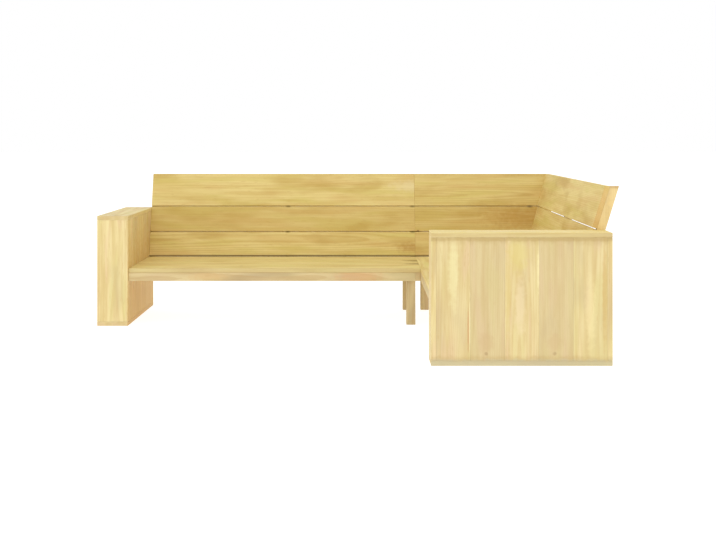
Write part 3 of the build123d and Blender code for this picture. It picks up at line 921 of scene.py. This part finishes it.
@dataclass
class PlankBack:
    """Three leaning planks, one above the other, the top one with a level upper edge.

    Attributes:
        section: left, corner or right.
        run: axis along the planks.
        depth: axis that the back leans along.
        seat_board: rearmost seat board, which the back stands behind.
        butts_behind: rearmost seat board of the back that the far ends are cut to meet, if any.
        tones: plank tones from the bottom up.
        seed: random seed of the planks.
    """

    section: str
    run: Axis
    depth: Axis
    seat_board: str
    butts_behind: Optional[str]
    tones: Tuple[float, float, float]
    seed: int

    def build(self, mill: BoardMill, pine: Pine) -> None:
        """Mill the planks."""
        low_slope = 0.0
        levels = zip(("bottom", "middle", "top"), PLANK_WIDTHS, self.tones)
        for step, (level, width, tone) in enumerate(levels):
            node = f"{self.section}_back_plank_{level}"
            middle, grain, slope = self._middle(node, low_slope + width * 0.5)
            inward = grain.cross(slope).z
            rearward = 1.0 if inward < 0.0 else -1.0
            rise = math.tan(BACK_LEAN) if self.butts_behind else 0.0
            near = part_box(node)[0][self.run.value]
            stock = Stock(
                length=(middle[self.run.value] - near) * 2.0,
                width=width,
                thickness=BOARD_THICKNESS,
                ease=PLANK_EASE,
                tone=tone,
                skew=(0.0, rise * slope.z, rise * inward),
                bevel=rearward * math.tan(BACK_LEAN) if level == "top" else 0.0,
                seed=self.seed + step,
            )
            mill.cut(node, stock, seat_axes(grain, slope, middle), pine)
            low_slope += width + PLANK_GAP

    def _middle(self, node: str, slope_length: float) -> Tuple[Vector, Vector, Vector]:
        """Find a plank's middle and axes from the seat that it stands behind.

        Args:
            node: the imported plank.
            slope_length: distance up the back to the plank's middle.

        Returns:
            The middle, the direction of the grain and the direction up the slope.
        """
        grain = self.run.unit()
        away = self.depth.unit()
        up = Axis.Z.unit()
        slope = away * math.sin(BACK_LEAN) + up * math.cos(BACK_LEAN)
        inward = away * math.cos(BACK_LEAN) - up * math.sin(BACK_LEAN)
        seat_high = Vector(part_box(self.seat_board)[1])
        foot = away * (seat_high[self.depth.value] + BACK_SET) + up * (seat_high.z + BACK_RISE)
        middle = foot + slope * slope_length + inward * (BOARD_THICKNESS * 0.5)
        low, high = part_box(node)
        far = high[self.run.value]
        if self.butts_behind:
            met = Vector(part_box(self.butts_behind)[1])[self.run.value] + BACK_SET
            far = met + (middle.z - foot.z) * math.tan(BACK_LEAN)
        middle[self.run.value] = (low[self.run.value] + far) * 0.5
        return middle, grain, slope


@dataclass
class SeatFrame:
    """Legs and rails under the seats, and the supports behind the backs.

    Attributes:
        legs: leg nodes, with the tone of each.
        shown_rails: rails that show, with the axis along each.
        kept: rails and supports that stay as packed, with the way of each one's grain.
        seed: random seed of the legs and rails.
    """

    legs: Tuple[Tuple[str, float], ...] = (
        ("left_front_leg", 0.25),
        ("left_rear_leg", 0.55),
        ("corner_inner_leg", 0.45),
        ("corner_outer_leg", 0.3),
    )
    shown_rails: Tuple[Tuple[str, Axis], ...] = (
        ("left_front_rail", Axis.X),
        ("left_end_rail", Axis.Y),
        ("right_front_rail", Axis.Y),
    )
    kept: Tuple[Tuple[str, GrainRun], ...] = (
        ("left_rear_rail", GrainRun.ALONG_X),
        ("corner_rear_rail", GrainRun.ALONG_X),
        ("right_cross_rails", GrainRun.ALONG_X),
        ("left_cross_rails", GrainRun.ALONG_Y),
        ("right_side_rail", GrainRun.ALONG_Y),
        ("left_back_supports", GrainRun.UPRIGHT),
        ("corner_back_support_inner", GrainRun.UPRIGHT),
        ("corner_back_support_outer", GrainRun.UPRIGHT),
        ("right_back_support_arm", GrainRun.UPRIGHT),
        ("right_back_support_middle", GrainRun.UPRIGHT),
    )
    seed: int = 400

    def build(self, mill: BoardMill, pine: Pine) -> None:
        """Mill the legs and the rails that show, and coat the rest."""
        standing = Lay(Axis.Z, Axis.X)
        for step, (node, tone) in enumerate(self.legs):
            standing.cut(mill, node, pine, ease=RAIL_EASE, tone=tone, seed=self.seed + step)
        for step, (node, run) in enumerate(self.shown_rails):
            seed = self.seed + SEED_STEP + step
            Lay(run, Axis.Z).cut(mill, node, pine, ease=RAIL_EASE, tone=RAIL_TONE, seed=seed)
        for node, run in self.kept:
            coat(node, pine.material(run))


@dataclass(frozen=True)
class Studio:
    """Pale floor, even soft light and a level camera.

    Attributes:
        floor_reach: half size of the floor.
        floor_glow: light that the floor gives back from below.
        sky: strength of the light from all round.
        key_power: power of the large front light.
        key_size: width of that light.
        key_stand: where it hangs.
        key_aim: what it points at.
        lens: focal length in millimetres.
        sensor: sensor width in millimetres.
        stand: where the camera stands, from the lowest corner of the bench's box.
        shift: the lens shift that the framing needs.
    """

    floor_reach: float = 60.0
    floor_glow: float = 0.85
    sky: float = 1.0
    key_power: float = 19.0
    key_size: float = 5.0
    key_stand: Triple = (-1.6, -6.5, 4.6)
    key_aim: Triple = (0.1, 0.2, 0.2)
    lens: float = 60.93
    sensor: float = 36.0
    stand: Triple = (1.3096, -5.0013, 0.9519)
    shift: Tuple[float, float] = (-0.00175, -0.188)

    def build(self) -> None:
        """Set the floor, the light and the camera."""
        self._floor()
        self._light()
        self._camera()

    def _floor(self) -> None:
        """Lay a pale floor."""
        reach = self.floor_reach
        mesh = bpy.data.meshes.new("studio_floor")
        signs = ((-1, -1), (1, -1), (1, 1), (-1, 1))
        corners = [(x * reach, y * reach, 0.0) for x, y in signs]
        mesh.from_pydata(corners, [], [(0, 1, 2, 3)])
        floor = bpy.data.objects.new("studio_floor", mesh)
        bpy.context.collection.objects.link(floor)
        paint, graph = new_material("studio_white")
        colour = graph.mix(graph.noise(graph.place()), tint(164, 164, 164), tint(158, 158, 158))
        glow = {"Emission Color": WHITE, "Emission Strength": self.floor_glow}
        graph.surface({"Base Color": colour, "Roughness": 0.9, **glow})
        mesh.materials.append(paint)

    def _light(self) -> None:
        """Light the bench from all round, with a large soft light in front."""
        world = bpy.data.worlds.new("studio_sky")
        world.use_nodes = True
        graph = Graph(world.node_tree)
        sky = graph.take("ShaderNodeBackground", None, {"Color": WHITE, "Strength": self.sky})
        graph.node("ShaderNodeOutputWorld", None, {"Surface": sky})
        scene = bpy.context.scene
        scene.world = world
        scene.view_settings.view_transform = "Standard"
        data = bpy.data.lights.new("front_light", "AREA")
        data.shape = "DISK"
        data.size = self.key_size
        data.energy = self.key_power
        lamp = bpy.data.objects.new("front_light", data)
        lamp.location = self.key_stand
        aim = Vector(self.key_aim) - lamp.location
        lamp.rotation_euler = aim.to_track_quat("-Z", "Y").to_euler()
        bpy.context.collection.objects.link(lamp)

    def _camera(self) -> None:
        """Stand the level camera where the photograph was taken from."""
        data = bpy.data.cameras.new("studio_camera")
        data.sensor_width = self.sensor
        data.lens = self.lens
        data.shift_x = self.shift[0]
        data.shift_y = self.shift[1]
        data.clip_end = CLIP_END
        camera = bpy.data.objects.new("studio_camera", data)
        camera.location = CAD_BOX[0] + Vector(self.stand)
        camera.rotation_euler = (math.radians(90.0), 0.0, 0.0)
        bpy.context.collection.objects.link(camera)
        bpy.context.scene.camera = camera


PINE_ARMS = Pine(
    slot="pine_arms",
    pale=tint(238, 220, 162),
    deep=tint(216, 189, 124),
    late=tint(204, 166, 100),
    warm=tint(200, 178, 136),
    green=tint(226, 212, 142),
    pink=tint(233, 203, 158),
    knot=tint(164, 118, 68),
    end=tint(206, 176, 122),
    # The arms' edge colour is a painted highlight along the eased edges.
    edge=tint(246, 234, 184),
    streak_share=0.75,
    tinge_share=0.65,
    ring_share=0.2,
    knot_share=0.03,
)
PINE_SEAT = Pine(
    slot="pine_seat",
    pale=tint(238, 219, 146),
    deep=tint(218, 190, 112),
    late=tint(198, 160, 88),
    warm=tint(196, 162, 86),
    green=tint(222, 208, 124),
    pink=tint(228, 196, 132),
    knot=tint(156, 112, 60),
    end=tint(206, 166, 102),
    edge=tint(222, 194, 120),
    ring_share=0.26,
    ring=0.0075,
)
PINE_BACK = Pine(
    slot="pine_back",
    pale=tint(238, 218, 146),
    deep=tint(214, 185, 104),
    late=tint(194, 156, 80),
    warm=tint(188, 150, 60),
    green=tint(214, 200, 104),
    pink=tint(224, 188, 120),
    knot=tint(150, 106, 52),
    end=tint(214, 176, 112),
    edge=tint(214, 182, 110),
    streak_share=0.55,
    tinge_share=0.4,
    knot_share=0.012,
    ring=0.0085,
)
PINE_BACK_PLAIN = replace(PINE_BACK, ring_share=0.16)
PINE_FRAME = Pine(
    slot="pine_frame",
    pale=tint(228, 207, 153),
    deep=tint(206, 179, 120),
    late=tint(190, 154, 98),
    warm=tint(164, 143, 110),
    green=tint(208, 194, 132),
    pink=tint(216, 186, 144),
    knot=tint(150, 108, 64),
    end=tint(198, 158, 106),
    edge=tint(190, 154, 98),
)
FASTENERS = (
    "arm_screws",
    "back_screws",
    "frame_screws",
    "seat_screws",
    "section_bolts",
    "section_nuts",
    "section_washers",
)


def spot(node: str, shares: Triple, nudge: Triple = (0.0, 0.0, 0.0)) -> Triple:
    """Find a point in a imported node's box.

    Args:
        node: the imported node.
        shares: how far across the box the point lies, along x, y and z.
        nudge: metres to move it by after that.

    Returns:
        The point.
    """
    low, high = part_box(node)
    x, y, z = [a + (b - a) * share + step for a, b, share, step in zip(low, high, shares, nudge)]
    return (x, y, z)


def arm_marks() -> Tuple[Mark, ...]:
    """Place the stains, painted shade and painted highlights on the arms."""
    low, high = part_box("right_arm_outer_boards")
    pitch = (high[0] - low[0] + ARM_JOINT_GAP) / ARM_BOARD_COUNT
    rise = high[2] - low[2]
    # Stains and painted light on the right arm's outer boards: boards from the left, nudge, height,
    # half sizes, colour, strength
    rows = (
        (1.0, -0.009, 0.13, 0.005, 0.14, tint(202, 138, 88), 0.55),
        (5.0, -0.0122, 0.28, 0.014, 0.3, tint(206, 166, 94), 0.45),
        (2.4, 0.0, 0.44, 0.06, 0.11, tint(222, 204, 122), 0.5),
        (0.5, 0.0, 0.36, 0.03, 0.2, tint(240, 230, 172), 0.6),
        # Painted light: shade along the foot of the boards, a shadow under the top board, and
        # highlights along the joints after the first and third boards
        (2.5, 0.0, 0.0, 1.2, 0.03, tint(192, 162, 102), 0.4),
        (2.5, 0.0, rise - 0.006, 1.2, 0.012, tint(186, 156, 96), 0.5),
        (1.0, -0.003, 0.15, 0.005, 0.18, tint(248, 234, 180), 0.6),
        (3.0, -0.003, 0.38, 0.006, 0.13, tint(250, 236, 180), 0.7),
        (2.1, 0.0, 0.3, 0.016, 0.3, tint(216, 190, 110), 0.4),
        (2.45, 0.0, 0.22, 0.03, 0.16, tint(242, 222, 178), 0.5),
        (4.5, 0.0, 0.2, 0.03, 0.2, tint(244, 226, 168), 0.5),
        (1.46, 0.0, 0.075, 0.045, 0.06, tint(206, 174, 126), 0.4),
        (1.46, 0.0, 0.03, 0.01, 0.01, tint(168, 138, 94), 0.5),
        (3.46, 0.0, 0.075, 0.045, 0.06, tint(206, 174, 126), 0.4),
        (3.46, 0.0, 0.03, 0.01, 0.01, tint(168, 138, 94), 0.5),
    )
    marks = []
    for boards, nudge, height, half_width, half_height, colour, strength in rows:
        centre = (low[0] + pitch * boards + nudge, low[1], low[2] + height)
        marks.append(Mark(centre, (half_width, STAIN_AND_PAINTED_LIGHT_DEPTH, half_height), colour, strength))
    # Painted shade along the front edge of the right arm's top, a painted highlight over that top,
    # painted shade along the front of its bottom board, and painted shade on the left arm's inner
    # boards, deepest at their foot.
    edge = spot("right_arm_top", (0.5, 0.0, 0.5))
    sunlit = spot("right_arm_top", (0.5, 0.5, 1.0))
    base = spot("right_arm_bottom", (0.5, 0.0, 0.5))
    inner = spot("left_arm_inner_boards", (1.0, 0.5, 0.0))
    return (
        *marks,
        Mark(edge, (1.6, 0.003, 0.05), tint(190, 164, 104), 0.42),
        Mark(sunlit, (1.6, 0.3, 0.003), tint(252, 228, 138), 0.4),
        Mark(base, (1.6, 0.003, 0.024), tint(196, 190, 158), 0.6),
        Mark(inner, (0.004, 1.6, 0.62), tint(206, 152, 50), 0.45),
        Mark(inner, (0.004, 1.6, 0.3), tint(190, 146, 70), 0.4),
    )


def seat_marks() -> Tuple[Mark, ...]:
    """Place painted shade on the ends of the left seat boards beside the seam, where the gaps between
    them show dark, and along the front edge.
    """
    ends = [spot(f"left_seat_board_{number}", (1.0, 0.5, 1.0)) for number in (2, 3)]
    edge = spot("left_seat_board_1", (0.5, 0.0, 0.5))
    return (
        # Painted shade at the board ends by the seam and along the front edge
        *[Mark(end, (0.1, 0.07, 0.02), tint(136, 108, 50), 0.58) for end in ends],
        Mark(edge, (3.0, 0.003, 0.05), tint(190, 172, 130), 0.45),
    )


def seat_shadow(section: str) -> Mark:
    """Place the dark line where a back's bottom plank meets the seat.

    Args:
        section: left or corner.

    Returns:
        The line.
    """
    low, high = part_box(f"{section}_back_plank_bottom")
    seat_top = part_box("left_seat_board_4")[1][2]
    middle = ((low[0] + high[0]) * 0.5, low[1], seat_top + 0.002)
    reach = ((high[0] - low[0]) * 1.5, 0.03, 0.01)
    return Mark(middle, reach, tint(92, 70, 28), 0.85, ragged=0.1)


def left_back_marks() -> Tuple[Mark, ...]:
    """Place the stains on the left planks beside the seam, and painted shade in the gaps before the
    supports.
    """
    foot = spot("left_back_plank_bottom", (1.0, 0.0, 0.0), (0.0, 0.03, 0.05))
    crown = spot("left_back_plank_top", (1.0, 0.0, 0.0), (0.0, 0.05, 0.11))
    supports = (
        spot("left_back_supports", (MIDDLE_SUPPORT_SHARE, 0.0, 0.0)),
        spot("left_back_supports", (1.0, 0.0, 0.0), (-SUPPORT_HALF, 0.0, 0.0)),
    )
    marks = [
        seat_shadow("left"),
        Mark(foot, (0.16, 0.08, 0.04), tint(180, 132, 50), 0.6),
        Mark(crown, (0.2, 0.08, 0.05), tint(236, 218, 170), 0.5),
    ]
    # Painted shade where the supports stand behind the gaps between the planks
    for level in ("bottom", "middle"):
        _, y, z = spot(f"left_back_plank_{level}", (0.0, 0.5, 1.0))
        for support in supports:
            gap = (support[0], y, z)
            marks.append(Mark(gap, (0.02, 0.1, 0.009), tint(120, 92, 40), 0.5, ragged=0.1))
    return tuple(marks)


def corner_back_marks() -> Tuple[Mark, ...]:
    """Place the darker heartwood of the corner's middle plank and a spot of painted shade in the gap
    above it.
    """
    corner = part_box("right_back_plank_middle")[0][0]
    _, heart_y, heart_z = spot("corner_back_plank_middle", (0.0, 0.0, 0.0), (0.0, 0.05, 0.07))
    _, gap_y, gap_z = spot("corner_back_plank_middle", (0.0, 0.5, 1.0))
    return (
        seat_shadow("corner"),
        Mark((corner - 0.02, heart_y, heart_z), (0.36, 0.1, 0.1), tint(186, 136, 50), 0.5),
        # Painted shade in the gap at the corner
        Mark((corner, gap_y, gap_z), (0.024, 0.1, 0.01), tint(104, 78, 28), 0.6, ragged=0.1),
    )


def right_back_marks() -> Tuple[Mark, ...]:
    """Place the warm end of the right top plank."""
    places = [spot("right_back_plank_top", (share, 0.0, share)) for share in (0.25, 0.5, 0.75)]
    return tuple(Mark(place, (0.03, 0.01, 0.06), tint(206, 148, 92), 0.2) for place in places)


def frame_marks() -> Tuple[Mark, ...]:
    """Place the stains on the left front rail and on the support beside the right arm."""
    rows = (
        (0.8, (0.16, 0.02, 0.06), tint(224, 166, 112), 0.4),
        (0.97, (0.12, 0.02, 0.06), tint(204, 188, 138), 0.45),
        (0.28, (0.14, 0.02, 0.03), tint(214, 170, 106), 0.4),
    )
    marks = []
    for share, reach, colour, strength in rows:
        marks.append(Mark(spot("left_front_rail", (share, 0.0, 0.5)), reach, colour, strength))
    support = "right_back_support_arm"
    for share in (0.55, 0.75, 0.95):
        place = spot(support, (share, 0.0, share))
        marks.append(Mark(place, (0.09, 0.01, 0.12), tint(248, 216, 144), 0.4))
    top = spot(support, (1.0, 0.0, 1.0))
    return (*marks, Mark(top, (0.08, 0.01, 0.016), tint(176, 130, 76), 0.5))


def main() -> None:
    """Build the bench piece by piece, then the studio round it."""
    logging.basicConfig(level=logging.INFO, format="%(message)s")
    mill = BoardMill()
    arm_pine = replace(PINE_ARMS, marks=arm_marks())
    frame_pine = replace(PINE_FRAME, marks=frame_marks())
    arms = (
        BoxArm("left", Axis.Y, Axis.X, 100, tones=(0.0, 0.0), alternate=0.08),
        BoxArm("right", Axis.X, Axis.Y, 150, tones=(0.15, 0.1), alternate=0.3),
    )
    for arm in arms:
        arm.build(mill, arm_pine)
        arm.dress(PINE_ARMS, frame_pine)
    seats = (
        (BoardedSeat("left", Axis.X, Axis.Y, 200, (0.0, 0.05, 0.1, 0.05)), seat_marks()),
        (BoardedSeat("right", Axis.Y, Axis.X, 220, (0.0, 0.06, 0.04, 0.1)), ()),
    )
    for seat, marks in seats:
        seat.build(mill, replace(PINE_SEAT, section=f"_{seat.side}", marks=marks))
    rear = "left_seat_board_4"
    side = "right_seat_board_4"
    left_back = PlankBack("left", Axis.X, Axis.Y, rear, None, (0.08, 0.3, 0.02), 300)
    corner_back = PlankBack("corner", Axis.X, Axis.Y, rear, None, (0.2, 0.35, 0.1), 320)
    right_back = PlankBack("right", Axis.Y, Axis.X, side, rear, (0.15, 0.2, 0.05), 344)
    backs = (
        (left_back, PINE_BACK, left_back_marks()),
        (corner_back, PINE_BACK, corner_back_marks()),
        (right_back, PINE_BACK_PLAIN, right_back_marks()),
    )
    for back, pine, marks in backs:
        back.build(mill, replace(pine, section=f"_{back.section}", marks=marks))
    SeatFrame().build(mill, frame_pine)
    steel = zinc_steel()
    for node in FASTENERS:
        coat(node, steel)
    Studio().build()
    LOG.info("boxes written")


if __name__ == "__main__":
    main()
